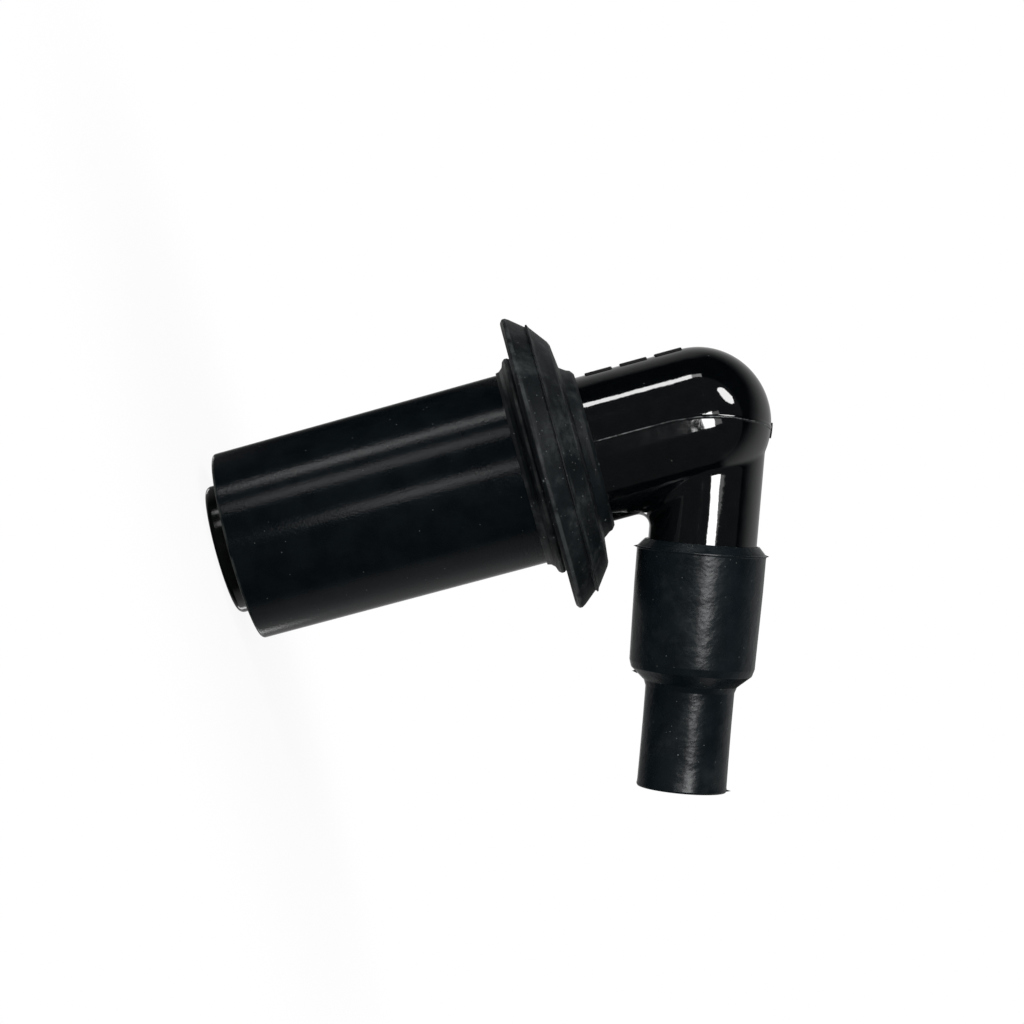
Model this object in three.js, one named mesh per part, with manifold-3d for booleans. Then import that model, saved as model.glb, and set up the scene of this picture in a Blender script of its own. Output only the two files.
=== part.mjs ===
// A spark plug cap for a recessed plug: a phenolic elbow whose barrel goes down the plug well,
// a rubber seal that closes the top of the well, and a short lead arm with its rubber boot.
// Inside are a spring-loaded resistor, the socket that clips on the plug, and the lead screw.
//
// Millimetres. The origin is the centre of the barrel's mouth, +Z runs up the barrel towards
// the elbow, and the lead arm leaves towards +X. The part is symmetric about the XZ plane.

import * as THREE from 'three';
import { mergeVertices } from 'three/addons/utils/BufferGeometryUtils.js';
import Module from 'manifold-3d';

const wasm = await Module();
wasm.setup();

// Clearances between pieces
const fitGap = 0.1; // between round pieces on the barrel's own axis
const turnedGap = 0.15; // between round pieces on the slanted lead axis
const seatGap = 0.3; // end to end on the slanted lead axis

// Barrel: a sleeve over the elbow's core tube
const barrelDiameter = 21.2; // at the open end
const barrelTaper = 0.18; // radius gained up to the seal
const barrelLength = 34.7;
const sleeveWall = 1.6;
const sleeveLip = 1.2; // the inward lip that covers the end of the core
const barrelEdge = 0.25; // chamfer at the open end

// Plug seal: the ring at the mouth that grips the plug's insulator
const mouthStandout = 1.8; // how far it stands out of the sleeve
const plugSealDiameter = 14.5;
const plugSealLength = 8.5;
const plugSealGrip = 10.6; // bore at its two gripping lips
const plugSealRelief = 11.8; // bore between the lips
const plugSealEdge = 0.6; // radius of its outer edge

// Elbow: one phenolic moulding
const armDiameter = 16.5;
const armLength = 16.7; // from the seal rib to the centre of the dome
const domeHeight = 8.0; // a little flatter than a full round end
const ribDiameter = 19.2; // the rib that the well seal snaps over
const ribHeight = 1.6;
const plugBore = 11.8;
const plugDepth = 24.0; // from the mouth to the ledge under the socket terminal

// Lead arm and its bore
const leadAngle = 70; // degrees between the plug's direction and the lead's
const leadOffset = 1.65; // how far past the dome's centre the lead axis crosses the barrel axis
const leadArmDiameter = 12.1;
const leadArmLength = 27.0; // from the crossing of the two axes
const leadBore = 7.4;
const leadBoreFloor = 8.5; // from the crossing of the two axes
const cornerRound = 1.2; // radius of the fillet where the lead arm meets the arm and dome
const cornerBite = 0.012; // how far the fillet's two edges reach into the arms, so that they join
const cornerRoot = 0.6; // depth of the fillet's sides inside both arms
const cornerDepth = 3.0; // from the centre of the fillet's radius to its innermost edge

// Raised pads on the crest of the arm
const padCount = 3;
const padLength = 3.1;
const padPitch = 4.0;
const padWidth = 3.4;
const padHeight = 0.25;
const padRoot = 0.5; // how far each pad reaches into the arm
const padStart = 7.5; // from the top of the sleeve to the first pad

// Well seal: rubber, snapped over the elbow's rib and the end of the sleeve
const cuffGrip = 2.0; // how far it reaches down over the sleeve
const cuffHeight = 1.9;
const cuffEdge = 0.12; // thickness where the cuff runs out on the sleeve
const cuffDiameter = 24.5;
const cuffBead = 0.9; // height of the round bead at the top of the cuff
const cuffGroove = 0.4; // depth of the groove between the bead and the lip
const cuffGrooveRise = 0.15; // how far the groove cuts up into the lip
const lipDiameter = 33.2;
const lipThickness = 1.1;
const ridgeDiameter = 30.2; // the moulding ridge between the two cones
const ridgeHeight = 1.65; // above the lip
const ridgeStandout = 0.2;
const shoulderDiameter = 25.8;
const shoulderHeight = 3.4; // above the lip
const shoulderRise = 0.45;
const sealNeckDiameter = 19.5;
const sealNeckTaper = 0.6; // the neck's radius lost over its height
const sealNeckHeight = 1.5;
const sealNeckChamfer = 0.45;

// Lead boot: rubber, over the lead arm and the lead
const bootStart = 14.0; // from the crossing of the two axes
const bootMouthEdge = 0.15; // thickness where the boot's mouth meets the arm
const bootMouthSlope = 1.0;
const bootWideDiameter = 14.5;
const bootWideTaper = 0.25; // radius lost along the wide part
const bootStepWall = 0.75; // rubber past the end of the lead arm, before the shoulder
const bootShoulderHeight = 1.9;
const bootShoulderRound = 0.65; // radius at both ends of the shoulder
const bootNarrowDiameter = 9.9;
const bootNarrowFlare = 0.05;
const bootNarrowLength = 11.6;
const bootBore = 6.8; // grips a 7 mm lead
const bootEdge = 0.3;

// Socket terminal: turned brass, screwed up into the elbow from the mouth
const terminalFlange = 11.2;
const terminalFlangeHeight = 1.2;
const terminalDiameter = 9.4;
const terminalHeight = 8.9; // from the ledge to its top face
const terminalBore = 6.7;
const terminalCrown = 1.6; // solid metal above the bore
const terminalNose = 4.8;
const terminalNoseHeight = 1.0;
const driverSlotWidth = 1.2;
const driverSlotDepth = 0.8;

// Socket clip: spring wire in a groove inside the terminal
const clipWire = 0.8;
const clipReach = 0.3; // how far the wire stands into the bore
const clipHeight = 3.6; // above the ledge
const clipOpening = 60; // degrees

// Resistor: a ceramic rod between two brass caps
const resistorLength = 14.0; // over both caps
const resistorCapDiameter = 5.5;
const resistorCapLength = 3.5;
const resistorCapWall = 0.3;
const resistorBore = 6.0;

// Lead screw: moulded into the elbow, with its point in the lead bore
const screwHeadDiameter = 5.2;
const screwHeadLength = 5.2;
const screwShankDiameter = 3.6;
const screwThreadCore = 2.9;
const screwLength = 22.0; // from the crossing of the two axes to the point
const screwPointLength = 3.5;
const screwBevel = 0.4;

// Contact spring between the resistor and the lead screw
const springDiameter = 4.6;
const springWire = 0.5;
const springTurns = 4.5;

// Number of sides on the round pieces
const barrelSides = 48;
const leadSides = 40;
const innerSides = 24;
const wireSides = 6;
const coilSteps = 14; // along each turn of the spring

// Stations along the barrel axis
const barrelRadius = barrelDiameter / 2;
const armRadius = armDiameter / 2;
const sleeveBottom = mouthStandout;
const sleeveTop = sleeveBottom + barrelLength;
const coreRadius = barrelRadius - sleeveWall - fitGap;
const coreBottom = sleeveBottom + sleeveLip + fitGap;
const ribBottom = sleeveTop + fitGap;
const ribTop = ribBottom + ribHeight;
const domeCentre = ribTop + armLength;
const axesCrossing = domeCentre + leadOffset;
const terminalTop = plugDepth + terminalHeight;
const resistorBottom = terminalTop + terminalNoseHeight + fitGap;
const resistorTop = resistorBottom + resistorLength;

// The lead axis: its heights start at the crossing, and its own +Z runs down the lead arm
const leadTurn = THREE.MathUtils.degToRad(180 - leadAngle);
const leadSlope = THREE.MathUtils.degToRad(90 - leadAngle);
const leadFrame = new THREE.Matrix4()
  .makeRotationY(leadTurn)
  .setPosition(0, 0, axesCrossing);

const finishes = {
  phenolic: { color: 0x0c0f12, roughness: 0.12, metalness: 0.0 },
  satinRubber: { color: 0x11171a, roughness: 0.42, metalness: 0.0 },
  mattRubber: { color: 0x1a2023, roughness: 0.72, metalness: 0.0 },
  glossRubber: { color: 0x0b0d0f, roughness: 0.22, metalness: 0.0 },
  brass: { color: 0xb8934a, roughness: 0.32, metalness: 1.0 },
  steel: { color: 0x9da1a4, roughness: 0.3, metalness: 1.0 },
  ceramic: { color: 0xd8d2c4, roughness: 0.55, metalness: 0.0 },
};

const point = (radius, height) => new THREE.Vector2(radius, height);

// Points on a round or elliptical arc in a profile, angles in degrees
function arc(centreRadius, centreHeight, radius, from, to, steps, rise = radius) {
  const curve = new THREE.EllipseCurve(
    centreRadius,
    centreHeight,
    radius,
    rise,
    THREE.MathUtils.degToRad(from),
    THREE.MathUtils.degToRad(to),
    to < from,
  );
  return curve.getPoints(steps);
}

// Keeps position only, joins shared vertices and drops the slivers that this leaves at poles
function weld(geometry) {
  const bare = geometry.clone();
  bare.deleteAttribute('normal');
  bare.deleteAttribute('uv');
  const merged = mergeVertices(bare, 1e-5);
  const index = merged.index.array;
  const kept = [];
  for (let i = 0; i < index.length; i += 3) {
    const [a, b, c] = [index[i], index[i + 1], index[i + 2]];
    if (a !== b && b !== c && c !== a) kept.push(a, b, c);
  }
  merged.setIndex(kept);
  return merged;
}

// Revolves a profile of radius and height about +Z
function turned(profile, sides) {
  const geometry = new THREE.LatheGeometry(profile, sides);
  geometry.rotateX(Math.PI / 2);
  return weld(geometry);
}

// Closes a ring profile on its first point and revolves it
function turnedRing(profile, sides) {
  return turned([...profile, profile[0].clone()], sides);
}

// Joins closed sections into a ring that closes on its first section
function loft(stations) {
  const around = stations[0].length;
  const index = [];
  stations.forEach((section, station) => {
    const here = station * around;
    const next = ((station + 1) % stations.length) * around;
    section.forEach((corner, i) => {
      const j = (i + 1) % around;
      index.push(here + i, next + j, next + i, here + i, here + j, next + j);
    });
  });
  const geometry = new THREE.BufferGeometry().setFromPoints(stations.flat());
  geometry.setIndex(index);
  return geometry;
}

function toSolid(geometry) {
  const welded = weld(geometry);
  return new wasm.Manifold(
    new wasm.Mesh({
      numProp: 3,
      vertProperties: new Float32Array(welded.attributes.position.array),
      triVerts: new Uint32Array(welded.index.array),
    }),
  );
}

function toGeometry(solid) {
  const mesh = solid.getMesh();
  const geometry = new THREE.BufferGeometry();
  geometry.setAttribute('position', new THREE.BufferAttribute(mesh.vertProperties, 3));
  geometry.setIndex(new THREE.BufferAttribute(mesh.triVerts, 1));
  return geometry;
}

// A helix about +Z, which is a plain arc when its rise is zero
class Coil extends THREE.Curve {
  constructor(radius, turns, rise, startAngle) {
    super();
    Object.assign(this, { radius, turns, rise, startAngle });
  }

  getPoint(t, target = new THREE.Vector3()) {
    const angle = this.startAngle + t * this.turns * 2 * Math.PI;
    return target.set(
      this.radius * Math.cos(angle),
      this.radius * Math.sin(angle),
      this.rise * t,
    );
  }
}

// Round wire along a curve
function wire(path, diameter, steps) {
  const section = new THREE.Shape(
    arc(0, 0, diameter / 2, 0, 360, wireSides).slice(0, wireSides),
  );
  return weld(new THREE.ExtrudeGeometry(section, { steps, extrudePath: path }));
}

function piece(name, geometry, finish) {
  const mesh = new THREE.Mesh(geometry, new THREE.MeshStandardMaterial(finishes[finish]));
  mesh.name = name;
  return mesh;
}

function barrelSleeve() {
  const lipRadius = plugSealDiameter / 2 + fitGap;
  const bore = barrelRadius - sleeveWall;
  return turnedRing(
    [
      point(lipRadius, sleeveBottom),
      point(barrelRadius - barrelEdge, sleeveBottom),
      point(barrelRadius, sleeveBottom + barrelEdge),
      point(barrelRadius + barrelTaper, sleeveTop - cuffGrip),
      point(barrelRadius + barrelTaper, sleeveTop),
      point(bore, sleeveTop),
      point(bore, sleeveBottom + sleeveLip),
      point(lipRadius, sleeveBottom + sleeveLip),
    ],
    barrelSides,
  );
}

// Two lips grip the insulator, with a relieved stretch between them
function plugSeal() {
  const outer = plugSealDiameter / 2;
  const grip = plugSealGrip / 2;
  const relief = plugSealRelief / 2;
  const ramp = relief - grip;
  const lipPitch = (plugSealLength - ramp) / 2;
  const lipTop = lipPitch - ramp;
  return turnedRing(
    [
      point(relief, 0),
      ...arc(outer - plugSealEdge, plugSealEdge, plugSealEdge, 270, 360, 4),
      point(outer, plugSealLength),
      point(relief, plugSealLength),
      point(relief, lipPitch + lipTop + ramp),
      point(grip, lipPitch + lipTop),
      point(grip, lipPitch + ramp * 2),
      point(relief, lipPitch + ramp),
      point(relief, lipTop + ramp),
      point(grip, lipTop),
      point(grip, ramp * 2),
    ],
    barrelSides,
  );
}

// Core tube, seal rib, arm and dome in one profile
function elbowOutside() {
  return turned(
    [
      point(0, coreBottom),
      point(coreRadius, coreBottom),
      point(coreRadius, ribBottom),
      point(ribDiameter / 2, ribBottom),
      point(ribDiameter / 2, ribTop),
      point(armRadius, ribTop),
      ...arc(0, domeCentre, armRadius, 0, 90, 12, domeHeight),
    ],
    barrelSides,
  );
}

// The stepped bore up the barrel: plug seal, insulator, socket terminal, resistor and spring
function barrelCavity() {
  const sealSeat = plugSealDiameter / 2 + fitGap;
  const threadBore = terminalDiameter / 2 + fitGap;
  const below = coreBottom - 1;
  return turned(
    [
      point(0, below),
      point(sealSeat, below),
      point(sealSeat, plugSealLength + fitGap),
      point(plugBore / 2, plugSealLength + fitGap),
      point(plugBore / 2, plugDepth),
      point(threadBore, plugDepth),
      point(threadBore, terminalTop + fitGap),
      point(resistorBore / 2, terminalTop + fitGap),
      point(resistorBore / 2, axesCrossing - screwHeadDiameter / 2),
      point(0, axesCrossing - screwHeadDiameter / 2),
    ],
    barrelSides,
  );
}

function leadArm() {
  return turned(
    [
      point(0, 0),
      point(leadArmDiameter / 2, 0),
      point(leadArmDiameter / 2, leadArmLength - bootEdge),
      point(leadArmDiameter / 2 - bootEdge, leadArmLength),
      point(0, leadArmLength),
    ],
    leadSides,
  );
}

// How far a point lies outside the arm and its dome, and the direction straight out of them
function fromArm(position) {
  const flat = position.clone();
  const above = position.z - domeCentre;
  flat.z = above > 0 ? (above * armRadius) / domeHeight : 0;
  return { distance: flat.length() - armRadius, outward: flat.normalize() };
}

// The fillet left by a ball that rolls round the corner between the lead arm and the arm.
// Each station is a section through the ball: down the lead arm, round the ball's surface to
// the arm, and back through the inside of both.
function cornerFillet() {
  const leadRadius = leadArmDiameter / 2;
  const arcSteps = 5;
  const onLead = (radius, turn, height) =>
    new THREE.Vector3(radius * Math.sin(turn), -radius * Math.cos(turn), height);
  const stations = [];
  for (let side = 0; side < leadSides; side += 1) {
    const turn = (side / leadSides) * 2 * Math.PI;
    const ballAt = (height) =>
      onLead(leadRadius + cornerRound, turn, height).applyMatrix4(leadFrame);
    let [low, high] = [0, leadArmLength];
    while (high - low > 1e-5) {
      const middle = (low + high) / 2;
      if (fromArm(ballAt(middle)).distance < cornerRound) low = middle;
      else high = middle;
    }
    const ball = ballAt(high);
    const toLead = onLead(-1, turn, 0).transformDirection(leadFrame);
    const toArm = fromArm(ball).outward.negate();
    const section = [];
    for (let step = 0; step <= arcSteps; step += 1) {
      const mix = step / arcSteps;
      const angle = toLead.angleTo(toArm);
      const spoke = toLead
        .clone()
        .multiplyScalar(Math.sin((1 - mix) * angle) / Math.sin(angle))
        .addScaledVector(toArm, Math.sin(mix * angle) / Math.sin(angle));
      section.push(ball.clone().addScaledVector(spoke, cornerRound + cornerBite));
    }
    const inside = toLead.clone().add(toArm).normalize();
    section.push(
      section[arcSteps].clone().addScaledVector(toArm, cornerRoot),
      ball.clone().addScaledVector(inside, cornerDepth),
      section[0].clone().addScaledVector(toLead, cornerRoot),
    );
    stations.push(section);
  }
  return loft(stations);
}

// The pocket that holds the screw's head, the hole for its shank, and the bore for the lead
function leadCavity() {
  const pocket = screwHeadDiameter / 2 + turnedGap;
  const pocketEnd = screwHeadLength / 2 + seatGap;
  const shankHole = screwShankDiameter / 2 + turnedGap;
  const past = leadArmLength + 1;
  return turned(
    [
      point(0, -pocketEnd),
      point(pocket, -pocketEnd),
      point(pocket, pocketEnd),
      point(shankHole, pocketEnd),
      point(shankHole, leadBoreFloor),
      point(leadBore / 2, leadBoreFloor),
      point(leadBore / 2, past),
      point(0, past),
    ],
    leadSides,
  );
}

// A ring around the arm, cut down to one pad on the crest
function crestPad(number) {
  const bottom = sleeveTop + padStart + number * padPitch;
  const ring = turnedRing(
    [
      point(armRadius - padRoot, bottom),
      point(armRadius + padHeight, bottom),
      point(armRadius + padHeight, bottom + padLength),
      point(armRadius - padRoot, bottom + padLength),
    ],
    barrelSides,
  );
  const window = new THREE.BoxGeometry(armDiameter, padWidth, padLength * 2);
  window.translate(-armRadius, 0, bottom + padLength / 2);
  return toSolid(ring).intersect(toSolid(window));
}

function elbowBody() {
  const arm = leadArm().applyMatrix4(leadFrame);
  const cavity = leadCavity().applyMatrix4(leadFrame);
  let body = toSolid(elbowOutside()).add(toSolid(arm)).add(toSolid(cornerFillet()));
  for (let number = 0; number < padCount; number += 1) {
    body = body.add(crestPad(number));
  }
  return toGeometry(body.subtract(toSolid(barrelCavity())).subtract(toSolid(cavity)));
}

// Cuff over the sleeve, thin round lip, two cones with a ridge between, and a short neck
function wellSeal() {
  const cuffBottom = sleeveTop - cuffGrip;
  const cuffTop = cuffBottom + cuffHeight;
  const cuffBore = barrelRadius + barrelTaper + fitGap;
  const cuffOuter = cuffDiameter / 2;
  const lipOuter = lipDiameter / 2;
  const lipTop = cuffTop + lipThickness;
  const lipRound = lipThickness / 2;
  const ridgeOuter = ridgeDiameter / 2;
  const ridgeAt = lipTop + ridgeHeight;
  const shoulderOuter = shoulderDiameter / 2;
  const shoulderAt = lipTop + shoulderHeight;
  const neckOuter = sealNeckDiameter / 2;
  const neckBottom = shoulderAt + shoulderRise;
  const neckTop = neckBottom + sealNeckHeight;
  const neckBore = armRadius + fitGap;
  const ribGroove = ribDiameter / 2 + fitGap;
  const beadRound = cuffBead / 2;
  const beadAt = cuffTop - beadRound;
  const flareEdge = cuffBore + cuffEdge;
  const flareWidth = cuffOuter - beadRound - flareEdge;
  const flareHeight = beadAt - beadRound - cuffBottom;
  return turnedRing(
    [
      point(cuffBore, cuffBottom),
      ...arc(flareEdge + flareWidth, cuffBottom, flareWidth, 180, 90, 4, flareHeight),
      ...arc(cuffOuter - beadRound, beadAt, beadRound, 300, 405, 4),
      point(cuffOuter - cuffGroove, cuffTop + cuffGrooveRise),
      point(cuffOuter + cuffGrooveRise, cuffTop),
      ...arc(lipOuter - lipRound, cuffTop + lipRound, lipRound, 270, 390, 4),
      point(ridgeOuter, ridgeAt - ridgeStandout),
      point(ridgeOuter + ridgeStandout, ridgeAt),
      point(ridgeOuter - ridgeStandout, ridgeAt + ridgeStandout),
      point(shoulderOuter, shoulderAt),
      point(shoulderOuter - shoulderRise, shoulderAt + shoulderRise / 2),
      point(neckOuter, neckBottom),
      point(neckOuter - sealNeckTaper, neckTop - sealNeckChamfer),
      point(neckOuter - sealNeckTaper - sealNeckChamfer, neckTop),
      point(neckBore, neckTop),
      point(neckBore, ribTop + fitGap),
      point(ribGroove, ribTop + fitGap),
      point(ribGroove, ribBottom),
      point(cuffBore, ribBottom),
    ],
    barrelSides,
  );
}

// Slopes down to the arm at its mouth, then steps in from the arm's size to the lead's
function leadBoot() {
  const bore = leadArmDiameter / 2 + turnedGap;
  const wide = bootWideDiameter / 2;
  const narrow = bootNarrowDiameter / 2;
  const leadHole = bootBore / 2;
  const innerStep = leadArmLength + seatGap;
  const wideEnd = innerStep + bootStepWall;
  const shoulderEnd = wideEnd + bootShoulderHeight;
  const bootEnd = shoulderEnd + bootNarrowLength;
  return turnedRing(
    [
      point(bore, bootStart),
      point(bore + bootMouthEdge, bootStart),
      point(wide, bootStart + bootMouthSlope),
      ...arc(wide - bootWideTaper - bootShoulderRound, wideEnd, bootShoulderRound, 0, 60, 3),
      ...arc(narrow + bootShoulderRound, shoulderEnd, bootShoulderRound, 240, 180, 3),
      point(narrow + bootNarrowFlare, bootEnd - bootEdge),
      point(narrow + bootNarrowFlare - bootEdge, bootEnd),
      point(leadHole + bootEdge, bootEnd),
      point(leadHole, bootEnd - bootEdge),
      point(leadHole, innerStep),
      point(bore, innerStep),
    ],
    leadSides,
  );
}

// Flange on the ledge, threaded barrel, socket bore with the clip's groove, and contact nose
function socketTerminal() {
  const outer = terminalDiameter / 2;
  const flange = terminalFlange / 2;
  const bore = terminalBore / 2;
  const flangeTop = plugDepth - fitGap;
  const flangeBottom = flangeTop - terminalFlangeHeight;
  const groove = bore - clipReach + clipWire + fitGap;
  const grooveHalf = clipWire / 2 + fitGap;
  const grooveAt = plugDepth + clipHeight;
  const nose = terminalNose / 2;
  const body = turned(
    [
      point(0, terminalTop - terminalCrown),
      point(bore, terminalTop - terminalCrown),
      point(bore, grooveAt + grooveHalf),
      point(groove, grooveAt + grooveHalf),
      point(groove, grooveAt - grooveHalf),
      point(bore, grooveAt - grooveHalf),
      point(bore, flangeBottom),
      point(flange, flangeBottom),
      point(flange, flangeTop),
      point(outer, flangeTop),
      point(outer, terminalTop),
      point(nose, terminalTop),
      point(nose, terminalTop + terminalNoseHeight),
      point(0, terminalTop + terminalNoseHeight),
    ],
    leadSides,
  );
  const slot = new THREE.BoxGeometry(terminalFlange * 2, driverSlotWidth, driverSlotDepth * 2);
  slot.translate(0, 0, flangeBottom);
  return toGeometry(toSolid(body).subtract(toSolid(slot)));
}

function socketClip() {
  const radius = terminalBore / 2 - clipReach + clipWire / 2;
  const turns = (360 - clipOpening) / 360;
  const start = THREE.MathUtils.degToRad(clipOpening / 2);
  const clip = wire(new Coil(radius, turns, 0, start), clipWire, innerSides);
  clip.translate(0, 0, plugDepth + clipHeight);
  return clip;
}

// A rod whose ends are turned down to fit inside the caps
function resistorRod() {
  const outer = resistorCapDiameter / 2 - resistorCapWall - fitGap;
  const inset = resistorCapWall + fitGap;
  return turned(
    [
      point(0, resistorBottom + inset),
      point(outer, resistorBottom + inset),
      point(outer, resistorTop - inset),
      point(0, resistorTop - inset),
    ],
    innerSides,
  );
}

// A drawn cup, open towards the rod
function resistorCap(bottom, facing) {
  const outer = resistorCapDiameter / 2;
  const inner = outer - resistorCapWall;
  const cap = turned(
    [
      point(0, 0),
      point(outer, 0),
      point(outer, resistorCapLength),
      point(inner, resistorCapLength),
      point(inner, resistorCapWall),
      point(0, resistorCapWall),
    ],
    innerSides,
  );
  if (facing < 0) cap.rotateX(Math.PI);
  cap.translate(0, 0, bottom);
  return cap;
}

// Stands on the upper cap and presses on the side of the screw's head
function contactSpring() {
  const headSide = screwHeadDiameter / 2 / Math.cos(leadSlope);
  const coilSide = (springDiameter / 2) * Math.tan(leadSlope);
  const top = axesCrossing - headSide - coilSide - fitGap;
  const bottom = resistorTop + fitGap;
  const rise = top - bottom - springWire;
  const radius = (springDiameter - springWire) / 2;
  const spring = wire(new Coil(radius, springTurns, rise, 0), springWire, springTurns * coilSteps);
  spring.translate(0, 0, bottom + springWire / 2);
  return spring;
}

function leadScrew() {
  const head = screwHeadDiameter / 2;
  const headEnd = screwHeadLength / 2;
  const shank = screwShankDiameter / 2;
  const thread = screwThreadCore / 2;
  return turned(
    [
      point(0, -headEnd),
      point(head - screwBevel, -headEnd),
      point(head, screwBevel - headEnd),
      point(head, headEnd - screwBevel),
      point(head - screwBevel, headEnd),
      point(shank, headEnd),
      point(shank, leadBoreFloor),
      point(thread, leadBoreFloor + screwBevel),
      point(thread, screwLength - screwPointLength),
      point(0, screwLength),
    ],
    innerSides,
  );
}

const group = new THREE.Group();
group.add(
  piece('elbow_body', elbowBody(), 'phenolic'),
  piece('barrel_sleeve', barrelSleeve(), 'satinRubber'),
  piece('plug_seal', plugSeal(), 'glossRubber'),
  piece('well_seal', wellSeal(), 'mattRubber'),
  piece('socket_terminal', socketTerminal(), 'brass'),
  piece('socket_clip', socketClip(), 'steel'),
  piece('resistor_rod', resistorRod(), 'ceramic'),
  piece('resistor_cap_lower', resistorCap(resistorBottom, 1), 'brass'),
  piece('resistor_cap_upper', resistorCap(resistorTop, -1), 'brass'),
  piece('contact_spring', contactSpring(), 'steel'),
);

const leadGroup = new THREE.Group();
leadGroup.applyMatrix4(leadFrame);
leadGroup.add(
  piece('lead_screw', leadScrew(), 'brass'),
  piece('lead_boot', leadBoot(), 'mattRubber'),
);
group.add(leadGroup);

export default group;
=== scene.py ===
import math

import bmesh
import bpy
import numpy as np
from mathutils import Matrix, Vector, noise


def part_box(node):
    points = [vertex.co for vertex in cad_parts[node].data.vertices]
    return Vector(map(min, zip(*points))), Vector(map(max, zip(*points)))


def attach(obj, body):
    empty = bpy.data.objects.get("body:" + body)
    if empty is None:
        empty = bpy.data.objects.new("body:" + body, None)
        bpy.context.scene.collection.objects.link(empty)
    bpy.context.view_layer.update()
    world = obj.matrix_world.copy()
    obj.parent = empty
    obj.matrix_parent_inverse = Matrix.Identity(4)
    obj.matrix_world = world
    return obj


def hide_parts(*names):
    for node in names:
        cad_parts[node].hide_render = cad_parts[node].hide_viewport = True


# The cap's CAD model is the frame that every piece below sits on. Outlines and sizes are in
# millimetres, as radius and height about the piece's own axis, until a piece is finished.
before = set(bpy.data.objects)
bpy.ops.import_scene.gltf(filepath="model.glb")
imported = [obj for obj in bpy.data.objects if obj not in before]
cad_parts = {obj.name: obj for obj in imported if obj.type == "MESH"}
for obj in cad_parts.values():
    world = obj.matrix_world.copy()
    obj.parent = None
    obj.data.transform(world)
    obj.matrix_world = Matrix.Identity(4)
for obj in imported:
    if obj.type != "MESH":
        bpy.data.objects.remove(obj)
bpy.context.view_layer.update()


# The camera stands level with the middle of the barrel, a good way off on a long lens. It is
# rolled on its side, so that the barrel points down to the left as the cap lies in the picture.
CAMERA_PLACE = (-0.005415, -0.307318, 0.037833)
CAMERA_TURN = (0.57371, 0.549854, -0.434197, 0.424254)
LENS, SENSOR = 97.15, 36.0
camera = bpy.data.objects.new("camera", bpy.data.cameras.new("camera"))
camera.location = CAMERA_PLACE
camera.rotation_mode = "QUATERNION"
camera.rotation_quaternion = CAMERA_TURN
camera.data.sensor_width = SENSOR
camera.data.lens = LENS
camera.data.clip_start = 0.01
camera.data.clip_end = 20.0
bpy.context.scene.collection.objects.link(camera)
bpy.context.scene.camera = camera
bpy.context.scene.view_settings.view_transform = "Standard"


# The studio is a white room with a pale table. In the gloss of the cap its near half is dim but
# for the lamps, and the table shows as patches of grey that brighten towards the horizon. Five
# soft boxes and two faint fades light the front of the cap, and two more boxes its back.
class Wire:
    """A node's socket that takes part in arithmetic: each operator adds a Math node."""

    def __init__(self, tree, socket=None):
        self.tree, self.socket = tree, socket

    def node(self, kind, values=None, output=0, **settings):
        """Adds a node: its settings first, then the values or links of its sockets."""
        made = self.tree.nodes.new(kind)
        for name, setting in settings.items():
            setattr(made, name, setting)
        for name, value in (values or {}).items():
            if isinstance(value, Wire):
                self.tree.links.new(value.socket, made.inputs[name])
            else:
                made.inputs[name].default_value = value
        return Wire(self.tree, made.outputs[output])

    def out(self, name):
        """Another output of the same node."""
        return Wire(self.tree, self.socket.node.outputs[name])

    def maths(self, operation, *others):
        return self.node("ShaderNodeMath", dict(enumerate([self, *others])), operation=operation)

    def __add__(self, other):
        return self.maths("ADD", other)

    def __mul__(self, other):
        return self.maths("MULTIPLY", other)

    def __sub__(self, other):
        return self.maths("SUBTRACT", other)

    def __truediv__(self, other):
        return self.maths("DIVIDE", other)

    def __neg__(self):
        return self.maths("MULTIPLY", -1.0)

    def __rsub__(self, other):
        return -self + other

    __radd__ = __add__
    __rmul__ = __mul__

    def rise(self, low, high):
        """0 below low, 1 above high and smooth between, or the other way round if low > high."""
        return self.node(
            "ShaderNodeMapRange",
            {"Value": self, "From Min": low, "From Max": high},
            interpolation_type="SMOOTHSTEP",
        )

    def blend(self, plain, marked):
        """The colour that goes from plain to marked as this value goes from 0 to 1."""
        colours = {
            name: colour if isinstance(colour, Wire) else (*colour, 1.0)
            for name, colour in (("Color1", plain), ("Color2", marked))
        }
        return self.node("ShaderNodeMixRGB", {"Fac": self, **colours})


ROOM_LIGHT = 0.4  # plain light from all round
ROOM_NEAR = 0.05  # the near half of the room, as the gloss shows it
TABLE_EDGE, TABLE_MIDDLE = 0.16, 0.26
TABLE_BELOW, TABLE_ABOVE = 0.60, 0.42
TABLE_FAR, TABLE_NEAR = 0.30, 0.30
TABLE_HAZE, TABLE_HORIZON = 0.08, 0.40
world = bpy.data.worlds.new("studio")
bpy.context.scene.world = world
world.use_nodes = True
world.node_tree.nodes.clear()
air = Wire(world.node_tree)
ray = air.node("ShaderNodeLightPath", output="Is Camera Ray")
glossy = ray.out("Is Glossy Ray")
toward = air.node("ShaderNodeTexCoord", output="Generated")
depth = toward.node("ShaderNodeSeparateXYZ", {0: toward}, output="Y")
side, end = depth.out("X"), depth.out("Z")
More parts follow.
